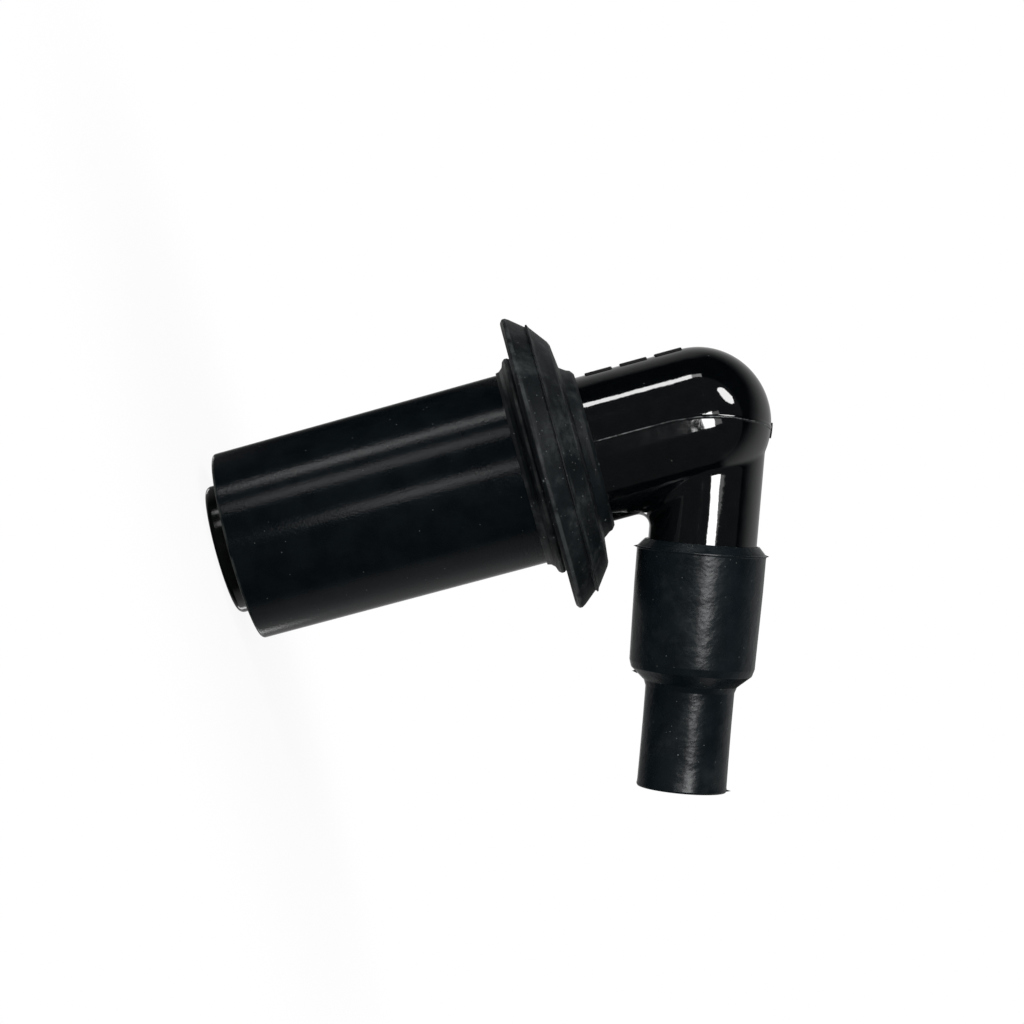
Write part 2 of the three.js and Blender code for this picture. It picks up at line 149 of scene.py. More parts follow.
# The table's patches are placed by how far they lie behind the cap, to its side and up its axis
leftward, upward = side.rise(0.15, -0.15), end.rise(-0.005, 0.015)
behind = depth.rise(0.38, 0.6) * TABLE_EDGE + depth.rise(0.55, 0.97) * TABLE_MIDDLE
table = leftward * upward * behind
below = depth.rise(-0.35, 0.0) * (1 - 0.5 * depth.rise(0.5, 0.95)) * TABLE_BELOW
table = table + (1 - leftward) * (1 - upward) * end.rise(-0.35, -0.2) * below
crown = end.rise(0.15, 0.4)
over = (depth + side * 0.6).rise(-0.05, 0.85) * TABLE_ABOVE
far_floor = end.rise(-0.35, -0.6) * depth.rise(0.2, 0.7)
table = table + crown * (over - table) + far_floor * TABLE_FAR
table = table + depth.rise(0.8, 1.0) * TABLE_HAZE + depth.rise(0.94, 1.0) * TABLE_HORIZON
near_floor = end.rise(-0.13, -0.24) * end.rise(-0.55, -0.35) * depth.rise(0.1, 0.75)
table = table + near_floor * TABLE_NEAR
gloss_level = depth.rise(-0.28, -0.34) * ROOM_NEAR + table
hidden_level = ROOM_LIGHT + glossy * (gloss_level - ROOM_LIGHT)
level = ray + (1 - ray) * hidden_level
backdrop = air.node("ShaderNodeBackground", {"Color": (1, 1, 1, 1), "Strength": level})
world_end = world.node_tree.nodes.new("ShaderNodeOutputWorld")
world.node_tree.links.new(backdrop.socket, world_end.inputs["Surface"])
world.cycles.sampling_method = "NONE"

ROOM_MIDDLE = Vector((0.010, 0.0, 0.038))
LAMP_AWAY = 0.5


def soft_box(name, to_left, to_end, width, length, level, lean=0, shape="RECTANGLE"):
    """A lamp so many degrees left of the camera and up the barrel's axis, as bright as level.

    It measures width by length in metres, and leans by so many degrees out of the axis.
    """
    left, end = math.radians(to_left), math.radians(to_end)
    away = Vector(
        (-math.sin(left) * math.cos(end), -math.cos(left) * math.cos(end), math.sin(end))
    )
    lamp = bpy.data.lights.new(name, "AREA")
    lamp.shape = shape
    lamp.size, lamp.size_y = width, length
    lamp.energy = level * math.pi * width * length
    holder = bpy.data.objects.new(name, lamp)
    across = Vector((0, 0, 1)).cross(away).normalized()
    turn = Matrix((across, away.cross(across), away)).transposed()
    turn = turn.to_4x4() @ Matrix.Rotation(math.radians(lean), 4, "Z")
    holder.matrix_world = Matrix.Translation(ROOM_MIDDLE + away * LAMP_AWAY) @ turn
    holder.visible_camera = False
    bpy.context.scene.collection.objects.link(holder)


# The first three draw the streaks on the barrel, the next two the bright spots on the dome and
# the strip on the lead arm. The fades soften the ends of two of them.
soft_box("tube_lamp", 74, -5, 0.062, 0.21, 9)
soft_box("low_box", 50, -9, 0.075, 0.16, 5)
soft_box("near_box", 8.8, -6.4, 0.066, 0.098, 7.5)
soft_box("corner_box", 40, 50, 0.125, 0.25, 8, -36, "ELLIPSE")
soft_box("front_box", -1, 14, 0.19, 0.145, 14)
soft_box("tube_fade", 74, 13, 0.05, 0.10, 2.2)
soft_box("front_fade", -1, 28, 0.17, 0.10, 1.1)
soft_box("back_box", 222, -20, 0.075, 0.12, 4)
soft_box("back_strip", 150, -21, 0.045, 0.12, 4)

FLOOR_HALF = 1.5
FLOOR_PALE = 0.82
FLOOR_SHADE = 0.08  # how much of the shadow shows on the floor, from near the cap to where it ends
SHADE_NEAR, SHADE_END = 0.02, 0.08
floor_mesh = bpy.data.meshes.new("floor")
floor_mesh.from_pydata(
    [(x * FLOOR_HALF, y * FLOOR_HALF, 0) for x, y in ((-1, -1), (1, -1), (1, 1), (-1, 1))],
    [],
    [(0, 1, 2, 3)],
)
floor = bpy.data.objects.new("floor", floor_mesh)
paint = bpy.data.materials.new("floor_paint")
paint.use_nodes = True
paint.node_tree.nodes.clear()
coat = Wire(paint.node_tree)
lit = coat.node("ShaderNodeBsdfDiffuse", {"Color": (FLOOR_PALE, FLOOR_PALE, FLOOR_PALE, 1)})
white = coat.node("ShaderNodeEmission", {"Color": (1, 1, 1, 1), "Strength": 1.0})
spot = coat.node("ShaderNodeTexCoord", output="Object")
from_cap = spot.node("ShaderNodeVectorMath", {0: spot}, operation="LENGTH", output="Value")
clear = 1 - FLOOR_SHADE + FLOOR_SHADE * from_cap.rise(SHADE_NEAR, SHADE_END)
seen = coat.node("ShaderNodeLightPath", output="Is Camera Ray") * clear
mixed = coat.node("ShaderNodeMixShader", {0: seen, 1: lit, 2: white})
paint_end = paint.node_tree.nodes.new("ShaderNodeOutputMaterial")
paint.node_tree.links.new(mixed.socket, paint_end.inputs["Surface"])
floor_mesh.materials.append(paint)
bpy.context.scene.collection.objects.link(floor)
floor.visible_glossy = False
floor.visible_shadow = False


# The elbow is one moulding in polished black phenolic: arm, dome and lead arm over the hidden
# core tube. A small round runs along the corner, and the mould left a fine line down each side.
ARM_RADIUS = 8.25
DOME_CENTRE, DOME_HEIGHT = 54.9, 8.0
LEAD_RADIUS, LEAD_END, CROSSING = 6.05, 27.0, 56.55
LEAD_ANGLE = math.radians(70)
CORNER_ROUND = 1.2
RIB_BOTTOM, RIB_TOP, RIB_RADIUS = 36.6, 38.2, 9.6
CORE_BOTTOM, CORE_RADIUS = 3.1, 8.9
BLOCK_LOW, BLOCK_HIGH, BLOCK_EDGE = (-9.2, -9.2, 36.2), (28.6, 9.2, 63.8), -5.0
SKIN_CELLS = 4.5  # to the millimetre, in the block that the skin is drawn through
SKIN_SNAPS = 2
METRES = Matrix.Scale(0.001, 4)
LEAD_FRAME = Matrix.Translation((0, 0, CROSSING)) @ Matrix.Rotation(math.pi - LEAD_ANGLE, 4, "Y")


def new_tree(name, inputs):
    """A Geometry Nodes tree with named inputs, and those inputs as wires."""
    tree = bpy.data.node_groups.new(name, "GeometryNodeTree")
    tree.interface.new_socket("Geometry", in_out="OUTPUT", socket_type="NodeSocketGeometry")
    for label, kind in inputs.items():
        tree.interface.new_socket(label, in_out="INPUT", socket_type="NodeSocket" + kind)
    entry = tree.nodes.new("NodeGroupInput")
    return tree, {label: Wire(tree, entry.outputs[label]) for label in inputs}


def end_tree(shape, material):
    """Ends a tree: its instances are made real and given their finish."""
    real = shape.node("GeometryNodeRealizeInstances", {"Geometry": shape})
    coated = real.node("GeometryNodeSetMaterial", {"Geometry": real, "Material": material})
    exit_node = shape.tree.nodes.new("NodeGroupOutput")
    shape.tree.links.new(coated.socket, exit_node.inputs[0])


def grown(tree, values, start=None):
    """The plain mesh that a tree makes from these values of its inputs, and a start mesh."""
    host = bpy.data.objects.new(tree.name, start or bpy.data.meshes.new(tree.name))
    bpy.context.scene.collection.objects.link(host)
    modifier = host.modifiers.new(tree.name, "NODES")
    modifier.node_group = tree
    for item in tree.interface.items_tree:
        if item.in_out == "INPUT" and item.name in values:
            modifier[item.identifier] = values[item.name]
    bpy.context.view_layer.update()
    evaluated = host.evaluated_get(bpy.context.evaluated_depsgraph_get())
    mesh = bpy.data.meshes.new_from_object(evaluated)
    bpy.data.objects.remove(host)
    return mesh


ROUND_SHARE = 0.49  # of the shorter side beside a corner, the most that its rounding takes up


def rounded(corners, steps=5):
    """The outline through corners (radius, height, rounding), with an arc at each rounded one."""
    path = []
    for number, (radius, height, rounding) in enumerate(corners):
        here = np.array((radius, height), float)
        before = np.array(corners[number - 1][:2], float) - here
        after = np.array(corners[(number + 1) % len(corners)][:2], float) - here
        if not rounding:
            path.append(here)
            continue
        shorter = min(np.linalg.norm(before), np.linalg.norm(after))
        before /= np.linalg.norm(before)
        after /= np.linalg.norm(after)
        half = math.acos(np.clip(before @ after, -1, 1)) / 2
        reach = min(rounding / math.tan(half), shorter * ROUND_SHARE)
        middle = before + after
        centre = here + middle / np.linalg.norm(middle) * reach / math.cos(half)
        start, end = here + before * reach - centre, here + after * reach - centre
        turn = math.pi - 2 * half
        for step in range(steps + 1):
            share = step / steps
            spoke = math.sin((1 - share) * turn) * start + math.sin(share * turn) * end
            path.append(centre + spoke / math.sin(turn))
    return path


def turned(outline, sides):
    """Revolves a closed outline about +Z."""
    points = np.array(outline)
    angles = np.arange(sides) * 2 * math.pi / sides
    ring = np.stack([np.cos(angles), np.sin(angles)], -1)
    spots = np.concatenate(
        [points[:, None, :1] * ring, np.broadcast_to(points[:, None, 1:], (len(points), sides, 1))],
        -1,
    )
    mesh = bpy.data.meshes.new("turned")
    faces = [
        (i * sides + j, i * sides + (j + 1) % sides, k * sides + (j + 1) % sides, k * sides + j)
        for i, k in ((i, (i + 1) % len(points)) for i in range(len(points)))
        for j in range(sides)
        if points[i][0] > 0 or points[k][0] > 0
    ]
    mesh.from_pydata(spots.reshape(-1, 3).tolist(), [], faces)
    return tidied(mesh)


MERGE_GAP, LEAST_EDGE = 1e-5, 1e-6


def tidied(mesh):
    """Merges doubled points, drops what they leave, and turns the faces outwards."""
    shape = bmesh.new()
    shape.from_mesh(mesh)
    bmesh.ops.remove_doubles(shape, verts=shape.verts, dist=MERGE_GAP)
    bmesh.ops.dissolve_degenerate(shape, edges=shape.edges, dist=LEAST_EDGE)
    bmesh.ops.recalc_face_normals(shape, faces=shape.faces)
    shape.to_mesh(mesh)
    shape.free()
    return mesh


def joined(*meshes):
    """Several meshes as one."""
    shape = bmesh.new()
    for mesh in meshes:
        shape.from_mesh(mesh)
    whole = bpy.data.meshes.new("joined")
    shape.to_mesh(whole)
    shape.free()
    return whole


def carved(mesh, *changes):
    """Adds or cuts whole solids, given as ("UNION" or "DIFFERENCE", mesh)."""
    body = bpy.data.objects.new("carved", mesh)
    tools = [bpy.data.objects.new("tool", tool) for _, tool in changes]
    for item in [body, *tools]:
        bpy.context.scene.collection.objects.link(item)
    for (operation, _), tool in zip(changes, tools):
        modifier = body.modifiers.new(operation, "BOOLEAN")
        modifier.operation, modifier.object, modifier.solver = operation, tool, "MANIFOLD"
    bpy.context.view_layer.update()
    evaluated = body.evaluated_get(bpy.context.evaluated_depsgraph_get())
    result = bpy.data.meshes.new_from_object(evaluated)
    for item in [body, *tools]:
        bpy.data.objects.remove(item)
    return result


def finished(name, mesh, material, crease=30):
    """The piece in metres, smooth but for its real edges."""
    mesh.transform(METRES)
    mesh.materials.clear()
    mesh.materials.append(material)
    mesh.shade_smooth()
    mesh.set_sharp_from_angle(angle=math.radians(crease))
    piece = bpy.data.objects.new(name, mesh)
    bpy.context.scene.collection.objects.link(piece)
    return piece


def new_material(name, **constants):
    """A material whose one shader has these constants on its own sockets."""
    material = bpy.data.materials.new(name)
    material.use_nodes = True
    shader = material.node_tree.nodes["Principled BSDF"]
    for socket, value in constants.items():
        shader.inputs[socket.replace("_", " ")].default_value = value
    start = Wire(material.node_tree)
    place = start.node("ShaderNodeTexCoord", output="Object")
    return material, place, shader


def coat_with(material, shader, **wires):
    """Feeds what changes over the surface into the shader."""
    for socket, wire in wires.items():
        material.node_tree.links.new(wire.socket, shader.inputs[socket.replace("_", " ")])


def grain(place, scale, detail=2.0, roughness=0.5, stretch=None):
    """Noise of so many waves to the metre, drawn out along an axis if stretch says so."""
    if stretch:
        place = place.node("ShaderNodeMapping", {"Vector": place, "Scale": stretch})
    return place.node(
        "ShaderNodeTexNoise",
        {"Vector": place, "Scale": scale, "Detail": detail, "Roughness": roughness},
    )


def specks(place, scale, size, share):
    """1 on scattered specks: a share of the cells of that scale each hold one of that size."""
    cell = place.node("ShaderNodeTexVoronoi", {"Vector": place, "Scale": scale})
    chance = cell.out("Color")
    chance = chance.node("ShaderNodeSeparateColor", {0: chance}, output="Red")
    return cell.rise(size, size * 0.6) * chance.rise(1 - share, 1 - share + 0.02)


def bumped(height, distance, strength=1.0):
    """The normal of a surface raised by height times distance, in metres."""
    values = {"Height": height, "Distance": distance, "Strength": strength}
    return height.node("ShaderNodeBump", values)


tree, size = new_tree(
    "elbow_skin",
    {
        "Arm radius": "Float",
        "Arm start": "Float",
        "Dome centre": "Float",
        "Dome height": "Float",
        "Lead arm radius": "Float",
        "Lead arm end": "Float",
        "Crossing height": "Float",
        "Lead angle": "Float",
        "Corner round": "Float",
        "Cells to the millimetre": "Float",
        "Finish": "Material",
    },
)
place = size["Finish"].node("GeometryNodeInputPosition")
x = place.node("ShaderNodeSeparateXYZ", {0: place}, output="X")
y, z = x.out("Y"), x.out("Z")
stretch = size["Arm radius"] / size["Dome height"]
above = (z - size["Dome centre"]).maths("MAXIMUM", 0.0) * stretch
arm = (x * x + y * y + above * above).maths("SQRT") - size["Arm radius"]
lead_cos, lead_sin = size["Lead angle"].maths("COSINE"), size["Lead angle"].maths("SINE")
climb = z - size["Crossing height"]
along = x * lead_sin - climb * lead_cos
across = x * lead_cos + climb * lead_sin
lead_reach = (across * across + y * y).maths("SQRT").maths("MAXIMUM", 0.001)
lead = (lead_reach - size["Lead arm radius"]).maths("MAXIMUM", -along)
slant = above * stretch
arm_reach = (x * x + y * y + slant * slant).maths("SQRT").maths("MAXIMUM", 0.001)
facing = x * across * lead_cos + y * y + slant * across * lead_sin
facing = facing / (arm_reach * lead_reach)
# A ball of the corner's radius that touches both surfaces leaves the round between them
from_arm, from_lead = arm - size["Corner round"], lead - size["Corner round"]
spread = (1 - facing * facing).maths("MAXIMUM", 0.001)
squares = from_arm * from_arm + from_lead * from_lead - 2 * facing * from_arm * from_lead
ball = size["Corner round"] - (squares / spread).maths("MAXIMUM", 0.0).maths("SQRT")
between = (facing * from_lead - from_arm).maths("MINIMUM", facing * from_arm - from_lead)
both = arm.maths("MINIMUM", lead)
outside = both + between.maths("GREATER_THAN", 0.0) * (ball - both)
outside = outside.maths("MAXIMUM", along - size["Lead arm end"])
outside = outside.maths("MAXIMUM", size["Arm start"] - z)
sides = [high - low for low, high in zip(BLOCK_LOW, BLOCK_HIGH)]
block = outside.node(
    "GeometryNodeVolumeCube",
    {
        "Density": -outside,
        "Background": BLOCK_EDGE,
        "Min": BLOCK_LOW,
        "Max": BLOCK_HIGH,
        "Resolution X": sides[0] * size["Cells to the millimetre"],
        "Resolution Y": sides[1] * size["Cells to the millimetre"],
        "Resolution Z": sides[2] * size["Cells to the millimetre"],
    },
)
skin = block.node("GeometryNodeVolumeToMesh", {"Volume": block, "Threshold": 0.0})
normal = skin.node("GeometryNodeInputNormal")
# Each snap moves the skin's points the rest of the way to the true surface
for _ in range(SKIN_SNAPS):
    shift = normal.node(
        "ShaderNodeVectorMath", {0: normal, "Scale": -outside}, operation="SCALE"
    )
    skin = skin.node("GeometryNodeSetPosition", {"Geometry": skin, "Offset": shift})
end_tree(skin, size["Finish"])

DUST_GREY = (0.05, 0.05, 0.045)
phenolic, place, shader = new_material("polished_phenolic", Specular_IOR_Level=1.0)
mottle = grain(place, 700, 3)
fine = grain(place, 9000, 2)
sink = grain(place, 330, 1)
scuffs = grain(place, 260, 4, 0.7, (1, 1, 0.25)).rise(0.62, 0.8)
dust = specks(place, 900, 0.08, 0.2)
coat_with(
    phenolic,
    shader,
    Base_Color=dust.blend(
        mottle.rise(0.3, 0.7).blend((0.0006, 0.0011, 0.0015), (0.0012, 0.0018, 0.0023)),
        DUST_GREY,
    ),
    Roughness=0.04 + 0.05 * scuffs + 0.02 * mottle + 0.3 * dust,
    Normal=bumped(mottle + 0.05 * fine + 2 * sink, 0.000018, 0.6),
)

skin = grown(
    tree,
    {
        "Arm radius": ARM_RADIUS,
        "Arm start": RIB_BOTTOM + 0.4,
        "Dome centre": DOME_CENTRE,
        "Dome height": DOME_HEIGHT,
        "Lead arm radius": LEAD_RADIUS,
        "Lead arm end": LEAD_END,
        "Crossing height": CROSSING,
        "Lead angle": LEAD_ANGLE,
        "Corner round": CORNER_ROUND,
        "Cells to the millimetre": SKIN_CELLS,
        "Finish": phenolic,
    },
)
core = turned(
    rounded(
        [
            (0, CORE_BOTTOM, 0),
            (CORE_RADIUS, CORE_BOTTOM, 0.2),
            (CORE_RADIUS, RIB_BOTTOM, 0),
            (RIB_RADIUS, RIB_BOTTOM, 0.1),
            (RIB_RADIUS, RIB_TOP, 0.2),
            (ARM_RADIUS - 0.3, RIB_TOP, 0),
            (0, RIB_TOP + 2, 0),
        ]
    ),
    128,
)
# The plug's bore, then the socket's seat and the resistor's bore. Its odd number of sides keeps
# its facets off the core's, so that no sliver is left between them.
plug_bore = turned(
    rounded(
        [
            (0, 0, 0),
            (7.35, 0, 0),
            (7.35, 8.6, 0),
            (5.9, 8.6, 0.3),
            (5.9, 24.0, 0.2),
            (4.8, 24.0, 0.1),
            (4.8, 33.0, 0.2),
            (3.0, 33.0, 0.1),
            (3.0, 53.95, 0.2),
            (0, 53.95, 0),
        ]
    ),
    97,
)
lead_bore = turned(
    rounded(
        [
            (0, -2.9, 0),
            (2.75, -2.9, 0),
            (2.75, 2.9, 0),
            (1.95, 2.9, 0),
            (1.95, 8.5, 0),
            (3.7, 8.5, 0.2),
            (3.7, LEAD_END - 0.4, 0),
            (4.1, LEAD_END + 0.1, 0),
            (4.1, LEAD_END + 1, 0),
            (0, LEAD_END + 1, 0),
        ]
    ),
    96,
)
lead_bore.transform(LEAD_FRAME)
elbow_mesh = carved(
    skin, ("UNION", core), ("DIFFERENCE", plug_bore), ("DIFFERENCE", lead_bore)
)


# Three low pads stand in a row on the crest of the arm. They are moulded with it, bent to its
# round, and left satin where the arm is polished.
tree, size = new_tree(
    "crest_pads",
    {
        "Count": "Int",
        "First height": "Float",
        "Pitch": "Float",
        "Length": "Float",
        "Width": "Float",
        "Height": "Float",
        "Root": "Float",
        "Edge round": "Float",
        "Arm radius": "Float",
        "Finish": "Material",
    },
)
thick = size["Height"] + size["Root"]
box = thick.node("ShaderNodeCombineXYZ", {"X": thick, "Y": size["Width"], "Z": size["Length"]})
pad = box.node(
    "GeometryNodeMeshCube", {"Size": box, "Vertices X": 5, "Vertices Y": 26, "Vertices Z": 24}
)
place = pad.node("GeometryNodeInputPosition")
half_box = box.node("ShaderNodeVectorMath", {0: box, "Scale": 0.5}, operation="SCALE")
edge = size["Edge round"]
round_box = edge.node("ShaderNodeCombineXYZ", {"X": edge, "Y": edge, "Z": edge})
inner = box.node("ShaderNodeVectorMath", {0: half_box, 1: round_box}, operation="SUBTRACT")
minus = box.node("ShaderNodeVectorMath", {0: inner, "Scale": -1.0}, operation="SCALE")
held = box.node("ShaderNodeVectorMath", {0: place, 1: inner}, operation="MINIMUM")
held = box.node("ShaderNodeVectorMath", {0: held, 1: minus}, operation="MAXIMUM")
spoke = box.node("ShaderNodeVectorMath", {0: place, 1: held}, operation="SUBTRACT")
spoke = box.node("ShaderNodeVectorMath", {0: spoke}, operation="NORMALIZE")
spoke = box.node("ShaderNodeVectorMath", {0: spoke, "Scale": edge}, operation="SCALE")
spot = box.node("ShaderNodeVectorMath", {0: held, 1: spoke}, operation="ADD")
pad = pad.node("GeometryNodeSetPosition", {"Geometry": pad, "Position": spot})
x = place.node("ShaderNodeSeparateXYZ", {0: place}, output="X")
y, z = x.out("Y"), x.out("Z")
reach = size["Arm radius"] + size["Height"] - thick * 0.5 + x
turn = y / size["Arm radius"]
bent = place.node(
    "ShaderNodeCombineXYZ",
    {"X": -reach * turn.maths("COSINE"), "Y": -reach * turn.maths("SINE"), "Z": z},
)
pad = pad.node("GeometryNodeSetPosition", {"Geometry": pad, "Position": bent})
first = size["First height"].node(
    "ShaderNodeCombineXYZ", {"Z": size["First height"] + size["Length"] * 0.5}
)
pitch = first.node("ShaderNodeCombineXYZ", {"Z": size["Pitch"]})
row = first.node(
    "GeometryNodeMeshLine", {"Count": size["Count"], "Start Location": first, "Offset": pitch}
)
pads = row.node("GeometryNodeInstanceOnPoints", {"Points": row, "Instance": pad})
end_tree(pads, size["Finish"])
satin_phenolic, place, shader = new_material("satin_phenolic", Specular_IOR_Level=0.12)
mottle = grain(place, 900, 4, 0.6)
coat_with(
    satin_phenolic,
    shader,
    Base_Color=mottle.blend((0.0015, 0.0018, 0.0020), (0.0040, 0.0045, 0.0050)),
    Roughness=0.40 + 0.2 * mottle,
    Normal=bumped(mottle, 0.00002, 0.5),
)
pads = grown(
    tree,
    {
        "Count": 3,
        "First height": 44.0,
        "Pitch": 4.0,
        "Length": 3.1,
        "Width": 2.6,
        "Height": 0.18,
        "Root": 0.5,
        "Edge round": 0.09,
        "Arm radius": ARM_RADIUS,
        "Finish": satin_phenolic,
    },
)
crest = finished("crest_pads", pads, satin_phenolic)
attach(crest, "root")


# The mould's halves met along the arm's side and then round the dome, off its middle. They left a
# low ridge and a scraped line on it on both sides of the cap, and a small nub on top of the dome.
LINE_HEIGHTS = (42.6, 47.0, 51.4, 54.5, 56.3, 58.2, 60.5, 61.6, 62.2)
LINE_SIDES = (-0.95, -0.95, -0.92, -0.58, -0.12, 0.48, 1.55, 2.25, 2.9)
LINE_STEPS = 120
LINE_THICKNESS = 0.16
RIDGE_THICKNESS, RIDGE_STAND = 1.1, 0.05
NUB_START, NUB_LENGTH, NUB_STEPS, NUB_THICKNESS = 2.3, 1.6, 8, 0.4
tree, size = new_tree(
    "swept_wire",
    {"Path": "Geometry", "Thickness": "Float", "Sides": "Int", "Finish": "Material"},
)
path = size["Path"].node("GeometryNodeMeshToCurve", {"Mesh": size["Path"]})
section = path.node(
    "GeometryNodeCurvePrimitiveCircle",
    {"Resolution": size["Sides"], "Radius": size["Thickness"] * 0.5},
)
sweep = path.node(
    "GeometryNodeCurveToMesh", {"Curve": path, "Profile Curve": section, "Fill Caps": True}
)
end_tree(sweep, size["Finish"])
wire_tree = tree


def swept(points, thickness, material, sides=10):
    """A round wire along the points."""
    line = bpy.data.meshes.new("line")
    line.from_pydata(points, [(i, i + 1) for i in range(len(points) - 1)], [])
    values = {"Thickness": thickness, "Sides": sides, "Finish": material}
    return tidied(grown(wire_tree, values, line))


def on_dome(x, z, sunk):
    """The point of the arm or dome at this x and height, a little under the surface."""
    above = max(z - DOME_CENTRE, 0) * ARM_RADIUS / DOME_HEIGHT
    reach = ARM_RADIUS - sunk
    return (x, -math.sqrt(max(reach * reach - x * x - above * above, 0.0)), z)


def along_line(sunk):
    """The parting line's points, closer together as they near the top of the dome."""
    first, last = LINE_HEIGHTS[0], LINE_HEIGHTS[-1]
    shares = [math.sin(step / LINE_STEPS * math.pi / 2) for step in range(LINE_STEPS + 1)]
    heights = [first + (last - first) * share for share in shares]
    return [on_dome(float(np.interp(z, LINE_HEIGHTS, LINE_SIDES)), z, sunk) for z in heights]


def mirrored(points):
    """The same points on the other side of the cap."""
    return [(x, -y, z) for x, y, z in points]


ridge_line = along_line(RIDGE_THICKNESS * 0.5 - RIDGE_STAND)
ridge = swept(ridge_line, RIDGE_THICKNESS, phenolic, sides=48)
far_ridge = swept(mirrored(ridge_line), RIDGE_THICKNESS, phenolic, sides=48)
scraped_phenolic, place, shader = new_material("scraped_phenolic")
wear_and_painted_highlight = grain(place, 1500, 4, 0.7).rise(0.40, 0.62) * grain(place, 260, 2).rise(0.3, 0.6)
coat_with(
    scraped_phenolic,
    shader,
    Base_Color=wear_and_painted_highlight.blend((0.010, 0.011, 0.012), (0.12, 0.13, 0.13)),
    Roughness=0.25 + 0.2 * wear_and_painted_highlight,
    Normal=bumped(wear_and_painted_highlight, 0.00003, 0.5),
)
parting = swept(along_line(0), LINE_THICKNESS, scraped_phenolic, sides=8)
far_parting = swept(mirrored(along_line(0)), LINE_THICKNESS, scraped_phenolic, sides=8)
mould_line = finished("mould_line", joined(parting, far_parting), scraped_phenolic)
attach(mould_line, "root")

nub_points = []
for step in range(NUB_STEPS + 1):
    x = NUB_START + NUB_LENGTH * step / NUB_STEPS
    height = DOME_CENTRE + DOME_HEIGHT * math.sqrt(1 - (x / ARM_RADIUS) ** 2)
    nub_points.append((x, 0.0, height))
nub = swept(nub_points, NUB_THICKNESS, phenolic, sides=8)

elbow = finished("elbow", joined(elbow_mesh, ridge, far_ridge, nub), phenolic)
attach(elbow, "root")
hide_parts("elbow_body")


# The sleeve is an extruded tube of satin black rubber, drawn over the core tube and folded in at
# its end. It is smooth and a little waxy, with fine drag marks along it and some dust.
def across_axis(place):
    """Distance from the barrel's axis, and height, both in metres."""
    x = place.node("ShaderNodeSeparateXYZ", {0: place}, output="X")
    y, z = x.out("Y"), x.out("Z")
    return (x * x + y * y).maths("SQRT"), z


def line_near(radius, height, at_radius, at_height, width, full=0.4):
    """1 on the circle at this radius and height in millimetres, and 0 from width away."""
    out, up = radius - at_radius * 0.001, height - at_height * 0.001
    return (out * out + up * up).maths("SQRT").rise(width * 0.001, width * full * 0.001)


satin_rubber, place, shader = new_material("satin_sleeve_rubber", Specular_IOR_Level=0.11)
mottle = grain(place, 350, 4, 0.6)
drag = grain(place, 2600, 3, 0.6, (1, 1, 0.12))
fine = grain(place, 4200, 3, 0.6)
dust = specks(place, 1100, 0.08, 0.35)
radius, height = across_axis(place)
# Painted highlight: a paler line round the rounded outer edge of the sleeve's end, broken up by
# noise and mixed into the pale colour with the dust.
wear_and_painted_highlight = line_near(radius, height, 10.58, 1.85, 0.3, full=1 / 3)
wear_and_painted_highlight = wear_and_painted_highlight * grain(place, 500, 3).rise(0.3, 0.6)
pale = (dust + wear_and_painted_highlight * 0.5).maths("MINIMUM", 1.0)
coat_with(
    satin_rubber,
    shader,
    Base_Color=pale.blend(
        mottle.rise(0.3, 0.7).blend((0.0018, 0.0029, 0.0038), (0.0030, 0.0046, 0.0058)),
        (0.055, 0.060, 0.058),
    ),
    Roughness=0.09 + 0.06 * mottle + 0.04 * drag + 0.25 * pale,
    Normal=bumped(drag * 0.3 + fine * 0.7, 0.000022, 0.9),
)
sleeve_mesh = turned(
    rounded(
        [
            (7.35, 1.8, 0.15),
            (10.6, 1.8, 0.35),
            (10.78, 34.5, 0),
            (10.78, 36.5, 0.1),
            (9.0, 36.5, 0.1),
            (9.0, 3.0, 0.2),
            (7.35, 3.0, 0.1),
        ],
        steps=6,
    ),
    192,
)
sleeve = finished("sleeve", sleeve_mesh, satin_rubber)
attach(sleeve, "root")
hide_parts("barrel_sleeve")


# The grommet at the mouth is moulded in a softer, glossy rubber. Two lips inside it grip the
# plug, and its front edge is well rounded.
gloss_rubber, place, shader = new_material("glossy_grommet_rubber", Specular_IOR_Level=0.25)
mottle = grain(place, 600, 3)
dust = specks(place, 1100, 0.08, 0.3)
coat_with(
    gloss_rubber,
    shader,
    Base_Color=dust.blend(
        mottle.blend((0.0015, 0.0018, 0.0020), (0.0035, 0.0040, 0.0042)), DUST_GREY
    ),
    Roughness=0.09 + 0.08 * mottle + 0.3 * dust,
    Normal=bumped(mottle, 0.00002, 0.5),
)
grommet_mesh = turned(
    rounded(
        [
            (5.9, 0, 0.25),
            (7.25, 0, 0.6),
            (7.25, 8.5, 0.1),
            (5.9, 8.5, 0.1),
            (5.9, 7.9, 0.3),
            (5.3, 7.3, 0.2),
            (5.3, 5.15, 0.2),
            (5.9, 4.55, 0.3),
            (5.9, 3.95, 0.3),
            (5.3, 3.35, 0.2),
            (5.3, 1.2, 0.4),
        ],
    ),
    160,
)
grommet = finished("grommet", grommet_mesh, gloss_rubber)
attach(grommet, "root")
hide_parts("plug_seal")


